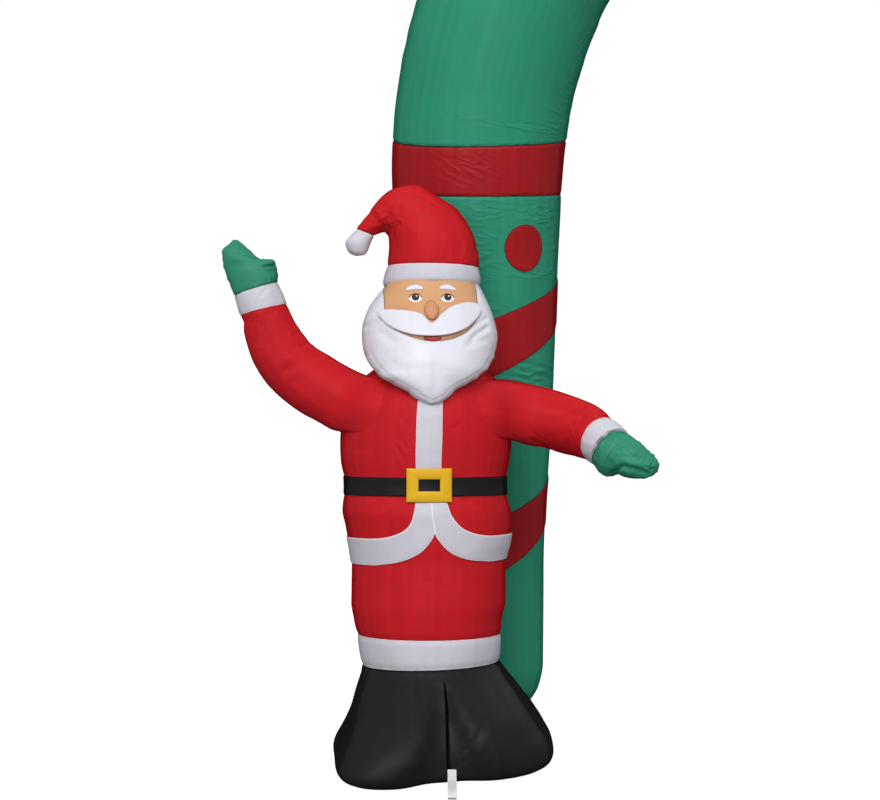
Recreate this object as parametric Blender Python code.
"""Inflatable garden arch: a green tube arch with red bands, and a Father Christmas
figure that leans against the front of one leg. Metres, +Z up, the front faces -Y.

The arch is laid out with X = 0 at its middle, Y = 0 in the plane of its centre line and
Z = 0 on the ground. The figure is laid out upright in a frame of its own, with its axis
at x = y = 0, and then turned a little and leaned back against the leg. At the end
everything is moved together, so that the middle of the footprint is the origin.
"""

import math

import bmesh
import bpy
import numpy as np

# ---------------------------------------------------------------- driving dimensions
GAP = 0.0003  # clearance between pieces that touch

# arch
ARCH_HEIGHT = 2.44
CENTRE_RADIUS = 1.0955  # of the tube's centre line, about the middle of the half circle
CROWN_TUBE_RADIUS = 0.199
SPRING_HEIGHT = ARCH_HEIGHT - CENTRE_RADIUS - CROWN_TUBE_RADIUS
ARCH_SIDES = 30
CROWN_SECTIONS = 28
ARC_LENGTH = math.pi * CENTRE_RADIUS
TUBE_LENGTH = 2 * SPRING_HEIGHT + ARC_LENGTH
MID_WAY = TUBE_LENGTH / 2

# Way along the centre line from the sole, and the tube's radius there.
TUBE_RADII = (
    # way, radius
    (0.000, 0.084),
    (0.012, 0.104),
    (0.032, 0.121),
    (0.065, 0.139),
    (0.110, 0.1465),
    (0.320, 0.1465),
    (0.450, 0.1500),
    (0.560, 0.1570),
    (0.640, 0.1620),
    (0.790, 0.1680),
    (0.940, 0.1722),
    (1.130, 0.1810),
    (1.250, 0.1850),
    (1.500, 0.1905),
    (2.000, 0.1960),
    (MID_WAY, CROWN_TUBE_RADIUS),
)

# red ring between leg and crown: each seam's way, its dip at the front, and the rise that
# keeps it level where the tube already bends
SEAM_LOW = {"way": 1.126, "dip": 0.011, "rise": 0.0}
SEAM_HIGH = {"way": 1.243, "dip": 0.021, "rise": 0.0155}

# Helical band. Turn 0 is the front, 90 the side that faces the other leg.
BAND_WIDTH = 0.1085
BAND_FRONT_RISE = 0.012  # the upper edge rises a little over the front of each turn
BAND_PITCH = 0.428
BAND_TOP_AT_INNER_SIDE = 0.946
BAND_TURNS = (-504, 324)  # from low on the back to where it runs under the ring
SKIN_STANDOFF = 0.0007
SKIN_THICKNESS = 0.0015

DOT_RADIUS = 0.0485
DOT_WAY = 1.0095
DOT_TURN = 33.7

# figure
FIGURE_X = -1.200
FIGURE_Y = -0.365
LEAN = math.radians(5)
TURN = math.radians(4)
BODY_SIDES = 32
COAT_CLEARANCE = 0.0002
FRONT_RISE = math.tan(LEAN)

# Hem band and coat: height along the figure's axis, half width, half depth, middle.
BODY_ROWS = (
    # z, half_x, half_y, middle_x
    (0.1825, 0.1370, 0.1450, 0.0060),
    (0.2110, 0.1410, 0.1490, 0.0045),
    (0.2405, 0.1435, 0.1520, 0.0030),
    (0.2700, 0.1475, 0.1560, 0.0010),
    (0.3050, 0.1540, 0.1600, 0.0020),
    (0.3850, 0.1540, 0.1610, 0.0025),
    (0.4170, 0.1600, 0.1660, 0.0040),
    (0.4570, 0.1660, 0.1710, 0.0025),
    (0.4840, 0.1680, 0.1730, -0.0015),
    (0.5190, 0.1620, 0.1680, -0.0040),
    (0.5380, 0.1605, 0.1665, -0.0045),
    (0.5550, 0.1625, 0.1685, -0.0045),
    (0.5870, 0.1690, 0.1730, -0.0050),
    (0.6270, 0.1720, 0.1750, -0.0040),
    (0.6700, 0.1700, 0.1730, -0.0030),
    (0.7080, 0.1600, 0.1630, -0.0010),
    (0.7420, 0.1400, 0.1430, 0.0020),
    (0.7680, 0.1120, 0.1150, 0.0040),
    (0.7850, 0.0780, 0.0800, 0.0060),
    (0.7920, 0.0500, 0.0520, 0.0060),
)
HEM_TOP = 0.2405
BELT_LOW, BELT_HIGH = 0.5190, 0.5550
# The rings of the body rise a little towards the figure's other hand near the hem.
SKEW_ROWS = (
    # z, rise per metre across
    (0.1825, 0.032),
    (0.2405, 0.003),
    (0.3850, 0.030),
    (0.5190, 0.000),
)

# Boots: height, half width, half depth, middle, share of the body's lean, and squareness
# of the outline seen from above (2 is an ellipse). The boot at the image's left steps
# forward, which is a shear of the outline that fades out upwards.
BOOT_ROWS = (
    # z, half_x, half_y, middle_x, middle_y, tilt_share, squareness
    (0.0000, 0.1900, 0.2190, -1.1720, -0.372, 0.00, 4.0),
    (0.0120, 0.2090, 0.2390, -1.1720, -0.372, 0.00, 4.0),
    (0.0320, 0.2170, 0.2510, -1.1720, -0.372, 0.00, 4.0),
    (0.0650, 0.2075, 0.2470, -1.1715, -0.371, 0.10, 3.6),
    (0.0880, 0.1895, 0.2320, -1.1725, -0.368, 0.35, 3.2),
    (0.1140, 0.1735, 0.2090, -1.1765, -0.364, 0.60, 2.8),
    (0.1400, 0.1580, 0.1840, -1.1800, -0.358, 0.80, 2.4),
    (0.1660, 0.1440, 0.1580, -1.1890, -0.353, 0.95, 2.1),
)
BOOT_STEP = 0.28
BOOT_CLEARANCE = 0.0008
CLEFT_TURN = math.radians(-2)
CLEFT_DEPTH = 0.10
CLEFT_WIDTH = math.radians(7)
BOOT_SIDES = 40

# Head and beard are one bag. Height, left and right edge, front and back edge.
HEAD_ROWS = (
    # z, left, right, front, back
    (0.6970, -0.018, 0.008, -0.180, -0.146),
    (0.7050, -0.030, 0.020, -0.186, -0.130),
    (0.7190, -0.047, 0.044, -0.190, -0.108),
    (0.7340, -0.075, 0.076, -0.191, -0.082),
    (0.7510, -0.100, 0.103, -0.190, -0.050),
    (0.7760, -0.117, 0.121, -0.186, 0.030),
    (0.8020, -0.128, 0.133, -0.178, 0.085),
    (0.8320, -0.132, 0.138, -0.166, 0.104),
    (0.8620, -0.129, 0.133, -0.150, 0.107),
    (0.8930, -0.118, 0.123, -0.128, 0.103),
    (0.9170, -0.102, 0.113, -0.108, 0.099),
    (0.9350, -0.089, 0.103, -0.097, 0.095),
)
HEAD_SIDES = 36
HEAD_SQUARENESS = 2.2
# the skin-coloured face: half an oval, cut off level under the brim
FACE_MIDDLE = (0.001, 0.884)
FACE_HALF_WIDTH = 0.092
FACE_DROP = 0.066
FACE_BACK = 0.0

# brim of the hat: height, half width, half depth, middle, rise per metre across
BRIM_ROWS = (
    # z, half_x, half_y, middle_x, skew
    (0.9353, 0.0955, 0.0960, 0.0075, 0.000),
    (0.9440, 0.0968, 0.0970, 0.0085, 0.000),
    (0.9600, 0.0945, 0.0955, 0.0100, -0.011),
    (0.9745, 0.0910, 0.0930, 0.0110, -0.016),
)
BRIM_SIDES = 32

# Bent hat: the two edges of each section, in the plane of the bend, and its half depth.
HAT_ROWS = (
    # inner_x, inner_z, outer_x, outer_z, half_depth
    (-0.080, 0.9762, 0.102, 0.9734, 0.0930),
    (-0.076, 1.0100, 0.098, 1.0270, 0.0900),
    (-0.078, 1.0320, 0.080, 1.0630, 0.0830),
    (-0.082, 1.0400, 0.051, 1.0940, 0.0740),
    (-0.084, 1.0430, 0.015, 1.1190, 0.0640),
    (-0.086, 1.0445, -0.021, 1.1370, 0.0530),
    (-0.088, 1.0450, -0.062, 1.1330, 0.0440),
    (-0.091, 1.0440, -0.090, 1.1130, 0.0350),
    (-0.097, 1.0400, -0.114, 1.0800, 0.0230),
    (-0.110, 1.0340, -0.140, 1.0480, 0.0165),
)
HAT_SIDES = 22
POMPOM_ROWS = (
    # inner_x, inner_z, outer_x, outer_z, half_depth
    (-0.110, 1.0340, -0.140, 1.0480, 0.0165),
    (-0.112, 1.0230, -0.157, 1.0380, 0.0240),
    (-0.117, 1.0060, -0.166, 1.0200, 0.0270),
    (-0.128, 0.9965, -0.159, 1.0060, 0.0190),
    (-0.138, 0.9940, -0.147, 0.9975, 0.0070),
)

# Waving arm, at the image's left: outer (lower) and inner (upper) edge of each section.
WAVING_SLEEVE = (
    # outer_x, outer_z, inner_x, inner_z, half_depth
    (-0.090, 0.635, -0.070, 0.742, 0.054),
    (-0.176, 0.643, -0.130, 0.759, 0.060),
    (-0.216, 0.661, -0.163, 0.773, 0.061),
    (-0.268, 0.687, -0.199, 0.795, 0.060),
    (-0.317, 0.730, -0.233, 0.823, 0.057),
    (-0.344, 0.774, -0.254, 0.847, 0.054),
    (-0.357, 0.818, -0.268, 0.867, 0.050),
    (-0.372, 0.875, -0.282, 0.899, 0.046),
)
WAVING_CUFF = (
    # outer_x, outer_z, inner_x, inner_z, half_depth
    (-0.372, 0.875, -0.282, 0.899, 0.046),
    (-0.3785, 0.895, -0.2905, 0.920, 0.0455),
    (-0.384, 0.915, -0.300, 0.941, 0.043),
)
WAVING_MITTEN = (
    # outer_x, outer_z, inner_x, inner_z, half_depth
    (-0.384, 0.915, -0.300, 0.941, 0.043),
    (-0.394, 0.936, -0.299, 0.963, 0.041),
    (-0.403, 0.956, -0.301, 0.984, 0.037),
    (-0.410, 0.978, -0.326, 0.994, 0.032),
    (-0.411, 1.000, -0.353, 1.009, 0.026),
    (-0.405, 1.018, -0.368, 1.023, 0.018),
    (-0.393, 1.029, -0.377, 1.031, 0.008),
)

# Lowered arm, at the image's right, which also comes forward: upper and lower edge.
LOW_SLEEVE = (
    # upper_x, upper_y, upper_z, lower_x, lower_y, lower_z, half_depth
    (0.070, 0.000, 0.745, 0.085, 0.000, 0.635, 0.054),
    (0.144, -0.005, 0.749, 0.168, -0.005, 0.627, 0.060),
    (0.207, -0.020, 0.737, 0.207, -0.022, 0.616, 0.060),
    (0.251, -0.037, 0.725, 0.243, -0.045, 0.608, 0.058),
    (0.300, -0.070, 0.706, 0.279, -0.078, 0.598, 0.054),
    (0.330, -0.100, 0.690, 0.297, -0.106, 0.591, 0.050),
    (0.353, -0.130, 0.668, 0.303, -0.126, 0.589, 0.047),
)
LOW_CUFF = (
    # upper_x, upper_y, upper_z, lower_x, lower_y, lower_z, half_depth
    (0.353, -0.130, 0.668, 0.303, -0.126, 0.589, 0.047),
    (0.366, -0.145, 0.657, 0.309, -0.139, 0.583, 0.047),
    (0.378, -0.160, 0.643, 0.315, -0.152, 0.579, 0.046),
)
LOW_MITTEN = (
    # upper_x, upper_y, upper_z, lower_x, lower_y, lower_z, half_depth
    (0.378, -0.160, 0.643, 0.315, -0.152, 0.579, 0.046),
    (0.391, -0.172, 0.631, 0.333, -0.170, 0.562, 0.042),
    (0.404, -0.184, 0.620, 0.364, -0.182, 0.556, 0.036),
    (0.417, -0.196, 0.606, 0.394, -0.194, 0.555, 0.028),
    (0.425, -0.205, 0.593, 0.412, -0.204, 0.558, 0.019),
    (0.429, -0.210, 0.583, 0.422, -0.210, 0.568, 0.009),
)
LIMB_SIDES = 20

# White trim of the cut-away jacket front: way round the coat from the middle of the
# front, and height, of its upper and of its lower edge.
TRIM_ROWS = (
    # upper_way, upper_z, lower_way, lower_z
    (0.0310, 0.5070, 0.0003, 0.5070),
    (0.0350, 0.4880, 0.0003, 0.4780),
    (0.0420, 0.4720, 0.0003, 0.4480),
    (0.0530, 0.4590, 0.0130, 0.4270),
    (0.0690, 0.4495, 0.0310, 0.4105),
    (0.0900, 0.4430, 0.0560, 0.3990),
    (0.1130, 0.4395, 0.0860, 0.3920),
    (0.1400, 0.4380, 0.1250, 0.3880),
)
TRIM_LEVEL = (0.4380, 0.3870)
TRIM_STANDOFF = 0.0012
TRIM_REAR_STATIONS = 14
COAT_MEAN_RADIUS = 0.168

PLACKET_HALF_WIDTH = 0.0245
PLACKET_MIDDLE = -0.004
PLACKET_TOP = 0.7400
PLACKET_STANDOFF = 0.0008
PLACKET_THICKNESS = 0.0013
BUCKLE_HALF_WIDTH = 0.0425
BUCKLE_HALF_HEIGHT = 0.0325
BUCKLE_MIDDLE = (-0.003, 0.5405)
BUCKLE_STANDOFF = 0.0027
WINDOW_HALF_WIDTH = 0.0200
WINDOW_HALF_HEIGHT = 0.0115
BEARD_CLEARANCE = 0.0040  # the placket runs up under the beard

# Moustache: a cloth flap held along its upper edge. Its free edge stands off the beard.
MOUSTACHE_ROWS = (
    # x, upper_z, lower_z, lift
    (-0.1040, 0.8810, 0.8720, 0.002),
    (-0.0900, 0.8840, 0.8540, 0.006),
    (-0.0680, 0.8830, 0.8400, 0.010),
    (-0.0420, 0.8780, 0.8315, 0.012),
    (-0.0190, 0.8660, 0.8285, 0.013),
    (-0.0020, 0.8540, 0.8280, 0.013),
    (0.0170, 0.8670, 0.8290, 0.013),
    (0.0400, 0.8860, 0.8330, 0.014),
    (0.0650, 0.8950, 0.8440, 0.015),
    (0.0880, 0.8960, 0.8640, 0.013),
    (0.0990, 0.8880, 0.8800, 0.006),
)
MOUSTACHE_STANDOFF = 0.0009
NOSE_MIDDLE = (-0.001, 0.8790)
NOSE_HALF_WIDTH = 0.0145
NOSE_HALF_HEIGHT = 0.0200
NOSE_DEPTH = 0.0140
NOSE_STANDOFF = 0.0010

# Webbing loop for a ground peg, sewn in the cleft of the boots: its run seen from the side.
PEG_LOOP_RUN = (
    # distance in front of the seam, z
    (0.0000, 0.0290),
    (0.0120, 0.0235),
    (0.0350, 0.0165),
    (0.0700, 0.0150),
    (0.0980, 0.0135),
    (0.1110, 0.0095),
    (0.1110, 0.0055),
    (0.1030, 0.0020),
    (0.0800, 0.0014),
    (0.0500, 0.0014),
    (0.0180, 0.0020),
    (0.0020, 0.0040),
    (-0.0130, 0.0080),
)
PEG_LOOP_X = -1.1545
PEG_LOOP_SEAM_Y = -0.6037
PEG_LOOP_WIDTH = 0.0175
PEG_LOOP_THICKNESS = 0.0015

COLOURS = {
    # material: sRGB colour, roughness
    "green_polyester": ("#2F8567", 0.55),
    "arch_red_polyester": ("#9B1F26", 0.55),
    "coat_red_polyester": ("#BE232B", 0.55),
    "white_polyester": ("#D4D2DA", 0.55),
    "black_polyester": ("#1E1F22", 0.50),
    "yellow_polyester": ("#E3B027", 0.50),
    "skin_polyester": ("#D6A373", 0.60),
    "webbing": ("#E6E6E8", 0.70),
}


# ---------------------------------------------------------------- materials and meshes
def linear(hex_colour):
    """An sRGB hex colour as linear RGBA."""
    channels = [int(hex_colour[i : i + 2], 16) / 255 for i in (1, 3, 5)]
    return [c / 12.92 if c <= 0.04045 else ((c + 0.055) / 1.055) ** 2.4 for c in channels] + [1]


def make_material(name):
    colour, roughness = COLOURS[name]
    material = bpy.data.materials.new(name)
    material.use_nodes = True
    shader = material.node_tree.nodes["Principled BSDF"]
    shader.inputs["Base Color"].default_value = linear(colour)
    shader.inputs["Roughness"].default_value = roughness
    shader.inputs["Metallic"].default_value = 0
    return material


def add_mesh(name, points, faces, material, is_cutter=False):
    """A mesh object with its faces turned outwards, parented to the root empty."""
    mesh = bpy.data.meshes.new(name)
    mesh.from_pydata([tuple(map(float, p)) for p in points], [], faces)
    shape = bmesh.new()
    shape.from_mesh(mesh)
    bmesh.ops.recalc_face_normals(shape, faces=shape.faces)
    shape.to_mesh(mesh)
    shape.free()
    mesh.shade_smooth()
    mesh.set_sharp_from_angle(angle=math.radians(50))
    obj = bpy.data.objects.new(name, mesh)
    obj.parent = bpy.data.objects["root"]
    bpy.context.scene.collection.objects.link(obj)
    if is_cutter:
        obj.hide_render = True
        obj.display_type = "WIRE"
    else:
        mesh.materials.append(bpy.data.materials[material])
    return obj


def grid_faces(rows, columns, wrap, start=0, flip=False):
    """Quads between the points of a grid; wrap joins the last column to the first."""
    faces = []
    for i in range(rows - 1):
        for j in range(columns if wrap else columns - 1):
            k = (j + 1) % columns
            quad = [start + i * columns + j, start + i * columns + k,
                    start + (i + 1) * columns + k, start + (i + 1) * columns + j]
            faces.append(quad[::-1] if flip else quad)
    return faces


def loft(name, rings, material, is_cutter=False):
    """A closed body through rings of points, with a fan of faces over each end."""
    rings = np.asarray(rings)
    rows, columns, _ = rings.shape
    points = np.vstack([rings.reshape(-1, 3), rings[0].mean(axis=0), rings[-1].mean(axis=0)])
    faces = grid_faces(rows, columns, wrap=True)
    first, last = rows * columns, rows * columns + 1
    for j in range(columns):
        k = (j + 1) % columns
        faces.append([first, k, j])
        faces.append([last, (rows - 1) * columns + j, (rows - 1) * columns + k])
    return add_mesh(name, points, faces, material, is_cutter)


def sheet(name, outside, inside, material, wrap=False):
    """A sheet between two grids of points; wrap closes it into a band along its columns."""
    outside, inside = np.asarray(outside), np.asarray(inside)
    rows, columns, _ = outside.shape
    count = rows * columns
    faces = grid_faces(rows, columns, wrap)
    faces += grid_faces(rows, columns, wrap, start=count, flip=True)
    for j in range(columns if wrap else columns - 1):
        k = (j + 1) % columns
        for i in (0, rows - 1):
            faces.append([i * columns + j, i * columns + k, count + i * columns + k, count + i * columns + j])
    if not wrap:
        for i in range(rows - 1):
            for j in (0, columns - 1):
                a, b = i * columns + j, (i + 1) * columns + j
                faces.append([a, b, count + b, count + a])
    return add_mesh(name, np.vstack([outside.reshape(-1, 3), inside.reshape(-1, 3)]), faces, material)


def cut(obj, cutter, operation="DIFFERENCE"):
    modifier = obj.modifiers.new(f"{operation.lower()} {cutter.name}", "BOOLEAN")
    modifier.operation = operation
    modifier.object = cutter


def column(rows, index):
    return np.array([row[index] for row in rows], float)


def along(rows, at, index):
    """One column of a table, read between its rows."""
    return np.interp(at, column(rows, 0), column(rows, index))


def power(value, exponent):
    return np.sign(value) * np.abs(value) ** exponent


def refined(rows, steps):
    """A table with cubic in-between rows, so that few sections give a smooth body."""
    rows = np.asarray(rows, float)
    padded = np.vstack([2 * rows[0] - rows[1], rows, 2 * rows[-1] - rows[-2]])
    result = []
    for a, b, c, d in zip(padded, padded[1:], padded[2:], padded[3:]):
        for t in np.arange(steps) / steps:
            result.append(0.5 * (2 * b + (c - a) * t + (2 * a - 5 * b + 4 * c - d) * t**2
                                 + (3 * b - a - 3 * c + d) * t**3))
    return np.array(result + [rows[-1]])


# ---------------------------------------------------------------- arch
def tube_radius(way):
    way = np.minimum(way, TUBE_LENGTH - way)
    return along(TUBE_RADII, way, 1)


def tube_point(way, turn, proud=0.0):
    """A point on the left half's tube: way along the centre line, turn round it (radians)."""
    way, turn = np.broadcast_arrays(np.asarray(way, float), np.asarray(turn, float))
    angle = np.clip((way - SPRING_HEIGHT) / CENTRE_RADIUS, 0, math.pi)
    inward_x, inward_z = np.cos(angle), -np.sin(angle)
    centre_x = -CENTRE_RADIUS * np.cos(angle)
    centre_z = np.where(
        way < SPRING_HEIGHT,
        way,
        np.where(way > SPRING_HEIGHT + ARC_LENGTH, TUBE_LENGTH - way, SPRING_HEIGHT)
        + CENTRE_RADIUS * np.sin(angle),
    )
    radius = tube_radius(way) + proud
    across = radius * np.sin(turn)
    return np.stack(
        [centre_x + across * inward_x, -radius * np.cos(turn), centre_z + across * inward_z], axis=-1
    )


def seam_way(seam, turn, beyond=0.0):
    return seam["way"] - seam["dip"] * np.cos(turn) + seam["rise"] * np.sin(turn) + beyond


def arch_turns():
    return np.arange(ARCH_SIDES) * 2 * math.pi / ARCH_SIDES


def mirrored(points):
    return np.asarray(points) * (-1, 1, 1)


def leg_rings():
    turns = arch_turns()
    ways = [np.full(ARCH_SIDES, way) for way in column(TUBE_RADII, 0) if way < 1.0]
    ways.append(seam_way(SEAM_LOW, turns))
    return tube_point(np.array(ways), turns[None, :])


def ring_rings():
    turns = arch_turns()
    low, high = seam_way(SEAM_LOW, turns, GAP), seam_way(SEAM_HIGH, turns)
    shares = np.linspace(0, 1, 3)[:, None]
    return tube_point(low + (high - low) * shares, turns[None, :])


def crown_rings():
    turns = arch_turns()
    first = seam_way(SEAM_HIGH, turns, GAP)
    last = TUBE_LENGTH - first
    shares = np.linspace(0, 1, CROWN_SECTIONS + 1)[:, None]
    return tube_point(first + (last - first) * shares, turns[None, :])


def band_grids():
    """The helical band's outer and inner face, three points across."""
    step = 360 // ARCH_SIDES
    degrees = np.arange(BAND_TURNS[0], BAND_TURNS[1] + step, step)
    turns = np.radians(degrees)
    side_edge = BAND_TOP_AT_INNER_SIDE + BAND_PITCH * (degrees - 90) / 360
    low = side_edge - BAND_WIDTH
    top = np.minimum(side_edge + BAND_FRONT_RISE * np.cos(turns), seam_way(SEAM_LOW, turns, -GAP))
    shares = np.linspace(0, 1, 3)[:, None]
    ways = low + (top - low) * shares
    return [tube_point(ways, turns[None, :], proud)
            for proud in (SKIN_STANDOFF + SKIN_THICKNESS, SKIN_STANDOFF)]


def dot_rings():
    """A disc lapped on the tube, as rings out over its face and back under it."""
    angles = np.arange(20) * 2 * math.pi / 20
    radius_here = tube_radius(DOT_WAY)
    rings = []
    for share, proud in ((0.15, 1), (0.6, 1), (1, 1), (1, 0), (0.6, 0), (0.15, 0)):
        reach = share * DOT_RADIUS
        turns = math.radians(DOT_TURN) + reach * np.cos(angles) / radius_here
        ways = DOT_WAY + reach * np.sin(angles)
        rings.append(tube_point(ways, turns, SKIN_STANDOFF * 1.6 + proud * SKIN_THICKNESS))
    return np.array(rings)


def build_arch():
    for side, place in (("left", np.asarray), ("right", mirrored)):
        loft(f"arch_{side}_leg", place(leg_rings()), "green_polyester")
        loft(f"arch_ring_{side}", place(ring_rings()), "arch_red_polyester")
        outer, inner = band_grids()
        sheet(f"arch_band_{side}", place(outer), place(inner), "arch_red_polyester")
        loft(f"arch_dot_{side}", place(dot_rings()), "arch_red_polyester")
    loft("arch_crown", crown_rings(), "green_polyester")


# ---------------------------------------------------------------- figure: placing
def placed(points):
    """Figure points turned towards the arch's opening and leaned back, in the arch's frame."""
    x, y, z = np.moveaxis(np.asarray(points, float), -1, 0)
    turned_x = x * math.cos(TURN) - y * math.sin(TURN)
    turned_y = x * math.sin(TURN) + y * math.cos(TURN)
    return np.stack(
        [
            FIGURE_X + turned_x,
            FIGURE_Y + turned_y * math.cos(LEAN) + z * math.sin(LEAN),
            z * math.cos(LEAN) - turned_y * math.sin(LEAN),
        ],
        axis=-1,
    )


def resting_on_leg(points, middle, proud):
    """Points pressed flat where they would enter the left leg, grown by proud.

    The leg has flat sides, so its reach towards middle is that of its nearest corner.
    """
    points = np.array(points, float)
    away = np.array(middle, float) - (-CENTRE_RADIUS, 0)
    away /= np.linalg.norm(away)
    step = 2 * math.pi / ARCH_SIDES
    from_corner = (math.atan2(away[0], -away[1]) + step / 2) % step - step / 2
    heights = np.clip(points[..., 2], 0, SEAM_LOW["way"])
    reach = (tube_radius(heights) + proud) * math.cos(from_corner) + GAP
    distance = (points[..., :2] - (-CENTRE_RADIUS, 0)) @ away
    points[..., :2] += np.maximum(reach - distance, 0)[..., None] * away
    return points


CHEST_MIDDLE = placed((0, 0, 0.68))[:2]


def body_point(way_round, height, proud=0.0):
    """A point of hem band or coat: angle round from the front, height along the axis."""
    way_round, height = np.broadcast_arrays(np.asarray(way_round, float), np.asarray(height, float))
    across = (along(BODY_ROWS, height, 1) + proud) * np.sin(way_round)
    x = along(BODY_ROWS, height, 3) + across
    y = -(along(BODY_ROWS, height, 2) + proud) * np.cos(way_round)
    z = height + along(SKEW_ROWS, height, 1) * across
    points = placed(np.stack([x, y, z], axis=-1))
    return resting_on_leg(points, CHEST_MIDDLE, COAT_CLEARANCE - proud)


def body_turns():
    return np.arange(BODY_SIDES) * 2 * math.pi / BODY_SIDES


def body_rings(low, high, proud=0.0):
    heights = [z for z in column(BODY_ROWS, 0) if low < z < high]
    heights = np.array([low] + heights + [high])[:, None]
    return body_point(body_turns()[None, :], heights, proud)


# ---------------------------------------------------------------- figure: body
def build_body():
    low, high = BODY_ROWS[0][0], BODY_ROWS[-1][0]
    loft("hem_band", body_rings(low, HEM_TOP - GAP), "white_polyester")
    loft("coat", body_rings(HEM_TOP, high), "coat_red_polyester")
    heights = np.linspace(BELT_LOW, BELT_HIGH, 3)[:, None]
    faces = [body_point(body_turns()[None, :], heights, SKIN_STANDOFF + thick)
             for thick in (SKIN_THICKNESS, 0)]
    sheet("belt", *faces, "black_polyester", wrap=True)


def boot_ring(row, turns, grow=0.0):
    """One level of the boots; grow moves it out. The cleft in front fades out upwards."""
    z, half_x, half_y, middle_x, middle_y, tilt_share, squareness = row
    from_cleft = (turns - CLEFT_TURN + math.pi) % (2 * math.pi) - math.pi
    fade = min(1, max(0, (0.17 - z) / 0.05))
    depth = CLEFT_DEPTH * fade * np.exp(-((from_cleft / CLEFT_WIDTH) ** 2))
    x = (half_x + grow) * power(np.sin(turns), 2 / squareness) * (1 - depth)
    y = -(half_y + grow) * power(np.cos(turns), 2 / squareness) * (1 - depth)
    y += BOOT_STEP * (1 - tilt_share) * x
    turned_x = x * math.cos(TURN) - y * math.sin(TURN)
    turned_y = x * math.sin(TURN) + y * math.cos(TURN)
    rise = tilt_share * (SKEW_ROWS[0][1] * turned_x - FRONT_RISE * turned_y)
    ring = np.stack([middle_x + turned_x, middle_y + turned_y, z + rise], axis=-1)
    return resting_on_leg(ring, BOOT_ROWS[0][3:5], BOOT_CLEARANCE)


def build_boots():
    """The black base: a low rounded bag with a cleft in front that parts the two boots."""
    turns = np.arange(BOOT_SIDES) * 2 * math.pi / BOOT_SIDES + CLEFT_TURN
    rings = [boot_ring(row, turns) for row in BOOT_ROWS]
    rings.append(body_point(turns, BODY_ROWS[0][0]) - (0, 0, GAP))
    loft("boots", rings, "black_polyester")


def coat_patch(ways_round, heights, proud):
    """Points on the coat at arc lengths round it from the middle of the front."""
    return body_point(np.asarray(ways_round) / COAT_MEAN_RADIUS, heights, proud)


def trim_stations():
    """The trim's upper and lower edge from the front round to the middle of the back."""
    rows = refined(TRIM_ROWS, 2)
    last = math.pi * COAT_MEAN_RADIUS - GAP
    shares = np.arange(1, TRIM_REAR_STATIONS + 1) / TRIM_REAR_STATIONS
    upper_way = rows[-1, 0] + (last - rows[-1, 0]) * shares
    lower_way = rows[-1, 2] + (last - rows[-1, 2]) * shares
    level = [np.full_like(shares, z) for z in TRIM_LEVEL]
    rows = np.vstack([rows, np.stack([upper_way, level[0], lower_way, level[1]], axis=1)])
    return rows[:, 0], rows[:, 1], np.maximum(rows[:, 2], TRIM_ROWS[0][2]), rows[:, 3]


def build_trims():
    upper_way, upper_z, lower_way, lower_z = trim_stations()
    shares = np.linspace(0, 1, 3)[:, None]
    ways = upper_way + (lower_way - upper_way) * shares
    heights = upper_z + (lower_z - upper_z) * shares
    for name, side in (("jacket_trim_left", -1), ("jacket_trim_right", 1)):
        faces = [coat_patch(side * ways, heights, TRIM_STANDOFF + thick) for thick in (SKIN_THICKNESS, 0)]
        sheet(name, *faces, "white_polyester")


def build_placket():
    ways = np.linspace(-PLACKET_HALF_WIDTH, PLACKET_HALF_WIDTH, 5)[None, :] + PLACKET_MIDDLE
    heights = [z for z in column(BODY_ROWS, 0) if BELT_HIGH + GAP < z < PLACKET_TOP]
    heights = np.array([BELT_HIGH + GAP] + heights + [PLACKET_TOP])[:, None]
    faces = [coat_patch(ways, heights, PLACKET_STANDOFF + thick) for thick in (PLACKET_THICKNESS, 0)]
    sheet("placket", *faces, "white_polyester")


def rectangle(half_width, half_height, per_side):
    """Points round an upright rectangle, the same number along each side."""
    corners = [(-1, -1), (1, -1), (1, 1), (-1, 1), (-1, -1)]
    shares = np.arange(per_side)[:, None] / per_side
    sides = [np.array(a) + (np.array(b) - a) * shares for a, b in zip(corners, corners[1:])]
    return np.vstack(sides) * (half_width, half_height)


def build_buckle():
    """A yellow plate with a window. It bridges the hollow in which the belt lies."""
    outline = np.array([rectangle(BUCKLE_HALF_WIDTH, BUCKLE_HALF_HEIGHT, 6),
                        rectangle(WINDOW_HALF_WIDTH, WINDOW_HALF_HEIGHT, 6)])
    angle = (outline[..., 0] + BUCKLE_MIDDLE[0]) / COAT_MEAN_RADIUS
    heights = outline[..., 1] + BUCKLE_MIDDLE[1]
    seat = along(BODY_ROWS, BUCKLE_MIDDLE[1] + BUCKLE_HALF_HEIGHT, 2)
    middle_x = along(BODY_ROWS, BUCKLE_MIDDLE[1], 3)
    faces = []
    for proud in (BUCKLE_STANDOFF + SKIN_THICKNESS, BUCKLE_STANDOFF):
        x = middle_x + (seat + proud) * np.sin(angle)
        faces.append(placed(np.stack([x, -(seat + proud) * np.cos(angle), heights], axis=-1)))
    sheet("buckle", *faces, "yellow_polyester", wrap=True)


# ---------------------------------------------------------------- figure: head
def head_ring(row, turns):
    z, left, right, front, back = row
    half_x, half_y = (right - left) / 2, (back - front) / 2
    x = (left + right) / 2 + half_x * power(np.sin(turns), 2 / HEAD_SQUARENESS)
    y = (front + back) / 2 - half_y * power(np.cos(turns), 2 / HEAD_SQUARENESS)
    return np.stack([x, y, np.full_like(x, z)], axis=-1)


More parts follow.
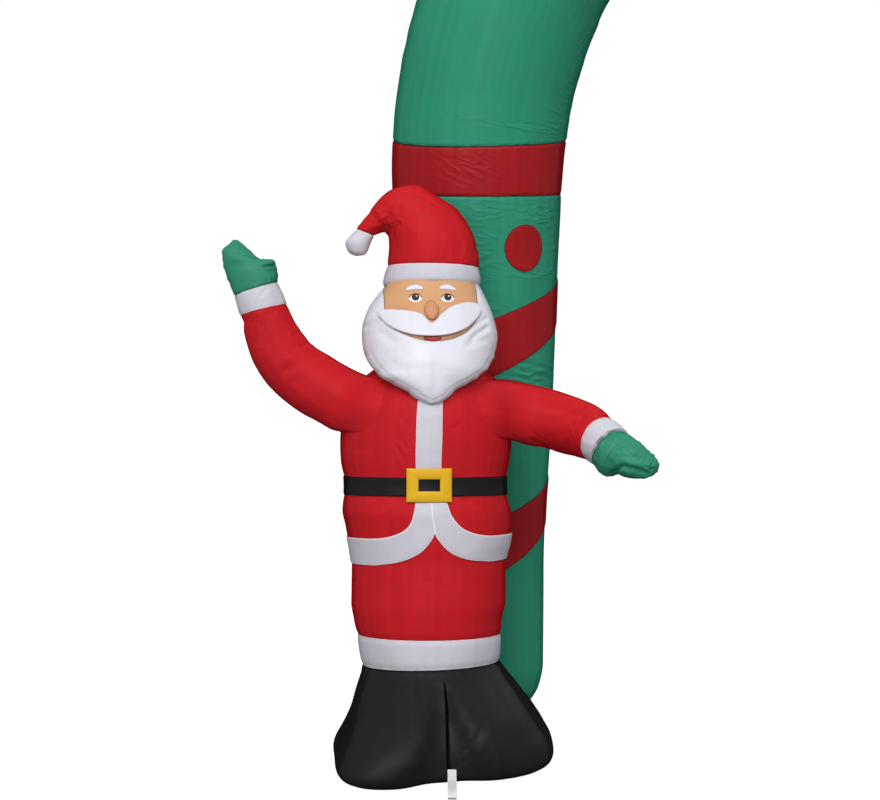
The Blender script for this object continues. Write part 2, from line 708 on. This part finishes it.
def head_front(x, z):
    """The depth y of the head bag's front at a place seen from the front."""
    left, right, front, back = (along(HEAD_ROWS, z, k) for k in (1, 2, 3, 4))
    share = np.clip(np.abs(x - (left + right) / 2) / ((right - left) / 2), 0, 0.995)
    reach = (1 - share**HEAD_SQUARENESS) ** (1 / HEAD_SQUARENESS)
    return (front + back) / 2 - (back - front) / 2 * reach


def head_bag(name, material, is_cutter=False):
    turns = np.arange(HEAD_SIDES) * 2 * math.pi / HEAD_SIDES
    return loft(name, placed([head_ring(row, turns) for row in HEAD_ROWS]), material, is_cutter)


def face_window(name, grow):
    """The prism that parts the face from the beard and hair: level on top, oval below."""
    angles = np.linspace(0, math.pi, 21)
    outline = [(-FACE_HALF_WIDTH - grow, 0.96), (FACE_HALF_WIDTH + grow, 0.96)]
    for angle in angles:
        outline.append((math.cos(angle) * (FACE_HALF_WIDTH + grow), -math.sin(angle) * (FACE_DROP + grow)))
    outline = np.array(outline)
    outline[2:, 1] += FACE_MIDDLE[1]
    outline[:, 0] += FACE_MIDDLE[0]
    rings = [np.stack([outline[:, 0], np.full(len(outline), y), outline[:, 1]], axis=-1)
             for y in (-0.24, FACE_BACK + grow)]
    return loft(name, placed(rings), None, is_cutter=True)


def build_head(coat_for_beard):
    face = head_bag("head", "skin_polyester")
    cut(face, face_window("face_window_cutter", 0), "INTERSECT")
    beard = head_bag("beard", "white_polyester")
    cut(beard, face_window("beard_window_cutter", GAP))
    cut(beard, coat_for_beard)


def build_moustache():
    rows = refined(MOUSTACHE_ROWS, 2)
    x, upper_z, lower_z, lift = rows.T
    shares = np.linspace(0, 1, 5)[:, None]
    heights = upper_z + (lower_z - upper_z) * shares
    across = np.broadcast_to(x, heights.shape)
    faces = []
    for thick in (SKIN_THICKNESS, 0):
        y = head_front(across, heights) - MOUSTACHE_STANDOFF - lift * shares**0.8 - thick
        faces.append(placed(np.stack([across, y, heights], axis=-1)))
    sheet("moustache", *faces, "white_polyester")


def build_nose():
    angles = np.arange(18) * 2 * math.pi / 18
    rings = []
    for share in (0.2, 0.5, 0.75, 0.92, 1.0):
        x = NOSE_MIDDLE[0] + share * NOSE_HALF_WIDTH * np.sin(angles)
        z = NOSE_MIDDLE[1] + share * NOSE_HALF_HEIGHT * np.cos(angles)
        y = head_front(x, z) - NOSE_STANDOFF - NOSE_DEPTH * math.sqrt(1 - share**2)
        rings.append(np.stack([x, y, z], axis=-1))
    rings.append(rings[-1] + (0, 0.0001, 0))
    loft("nose", placed(rings), "skin_polyester")


# ---------------------------------------------------------------- figure: hat and limbs
def section_rings(rows, sides):
    """Ellipses through tables of paired edges, each square to the way the body runs."""
    rows = np.asarray(rows, float)
    edge_a, edge_b, half_depth = rows[:, 0:3], rows[:, 3:6], rows[:, 6]
    middle = (edge_a + edge_b) / 2
    half = (edge_b - edge_a) / 2
    forward = np.gradient(middle, axis=0)
    forward /= np.linalg.norm(forward, axis=1, keepdims=True)
    deep = np.cross(forward, half)
    deep *= (half_depth / np.linalg.norm(deep, axis=1))[:, None]
    angles = np.arange(sides) * 2 * math.pi / sides
    return (middle[:, None, :] + half[:, None, :] * np.cos(angles)[None, :, None]
            + deep[:, None, :] * np.sin(angles)[None, :, None])


def in_one_plane(rows):
    """Rows of (x, z, x, z, depth) as rows of two 3-D edges and a depth, at y = 0."""
    return [(ax, 0, az, bx, 0, bz, depth) for ax, az, bx, bz, depth in rows]


def build_hat():
    turns = np.arange(BRIM_SIDES) * 2 * math.pi / BRIM_SIDES
    rings = []
    for z, half_x, half_y, middle_x, skew in BRIM_ROWS:
        across = half_x * np.sin(turns)
        rings.append(np.stack([middle_x + across, -half_y * np.cos(turns), z + skew * across], axis=-1))
    loft("hat_brim", placed(rings), "white_polyester")
    hat = section_rings(refined(in_one_plane(HAT_ROWS), 2), HAT_SIDES)
    loft("hat", placed(hat), "coat_red_polyester")
    pompom = section_rings(refined(in_one_plane(POMPOM_ROWS), 2), 18)
    pompom[0] += (-GAP, 0, -GAP)
    loft("pompom", placed(pompom), "white_polyester")


def build_arm(name, tables, coat_for_sleeves):
    """Sleeve, cuff and mitten as one run of sections, parted by a small gap at each seam."""
    sleeve, cuff, mitten = tables
    steps = 2
    rings = section_rings(refined(sleeve + cuff[1:] + mitten[1:], steps), LIMB_SIDES)
    first_seam = steps * (len(sleeve) - 1)
    second_seam = first_seam + steps * (len(cuff) - 1)
    body = loft(f"sleeve_{name}", placed(rings[: first_seam + 1]), "coat_red_polyester")
    cut(body, coat_for_sleeves)
    pieces = ((f"cuff_{name}", rings[first_seam : second_seam + 1], "white_polyester"),
              (f"mitten_{name}", rings[second_seam:], "green_polyester"))
    for piece, sections, material in pieces:
        ahead = sections[1].mean(axis=0) - sections[0].mean(axis=0)
        sections = sections.copy()
        sections[0] += GAP * ahead / np.linalg.norm(ahead)
        loft(piece, placed(sections), material)


# ---------------------------------------------------------------- peg loop
def build_peg_loop():
    """Webbing folded into a flat loop that lies on the ground in front of the cleft."""
    run = refined(PEG_LOOP_RUN, 2)
    ahead = np.gradient(run, axis=0)
    ahead /= np.linalg.norm(ahead, axis=1, keepdims=True)
    square = np.stack([-ahead[:, 1], ahead[:, 0]], axis=1)
    xs = PEG_LOOP_X + np.array([-0.5, 0.5]) * PEG_LOOP_WIDTH
    faces = []
    for side in (0.5, -0.5):
        edge = run + square * side * PEG_LOOP_THICKNESS
        shape = (2, len(run))
        faces.append(np.stack([np.broadcast_to(xs[:, None], shape),
                               np.broadcast_to(PEG_LOOP_SEAM_Y - edge[:, 0], shape),
                               np.broadcast_to(edge[:, 1], shape)], axis=-1))
    sheet("peg_loop", *faces, "webbing")


# ---------------------------------------------------------------- assembly
def visible_meshes():
    return [obj for obj in bpy.data.objects if obj.type == "MESH" and not obj.hide_render]


def centre_on_footprint():
    """Moves the whole arch so that the middle of its footprint, on the ground, is the origin."""
    corners = np.array([v.co for obj in visible_meshes() for v in obj.data.vertices])
    low, high = corners.min(axis=0), corners.max(axis=0)
    bpy.data.objects["root"].location = (-(low[0] + high[0]) / 2, -(low[1] + high[1]) / 2, -low[2])


def main():
    for obj in list(bpy.data.objects):
        bpy.data.objects.remove(obj)
    root = bpy.data.objects.new("root", None)
    bpy.context.scene.collection.objects.link(root)
    for name in COLOURS:
        make_material(name)
    low, high = BODY_ROWS[0][0], BODY_ROWS[-1][0]
    coat_for_sleeves = loft("sleeve_cutter", body_rings(low, high, GAP), None, is_cutter=True)
    coat_for_beard = loft("beard_cutter", body_rings(low, high + 0.002, BEARD_CLEARANCE), None, is_cutter=True)
    build_arch()
    build_boots()
    build_body()
    build_trims()
    build_placket()
    build_buckle()
    build_head(coat_for_beard)
    build_moustache()
    build_nose()
    build_hat()
    waving = [in_one_plane(rows) for rows in (WAVING_SLEEVE, WAVING_CUFF, WAVING_MITTEN)]
    build_arm("waving", waving, coat_for_sleeves)
    build_arm("low", (LOW_SLEEVE, LOW_CUFF, LOW_MITTEN), coat_for_sleeves)
    build_peg_loop()
    centre_on_footprint()


main()
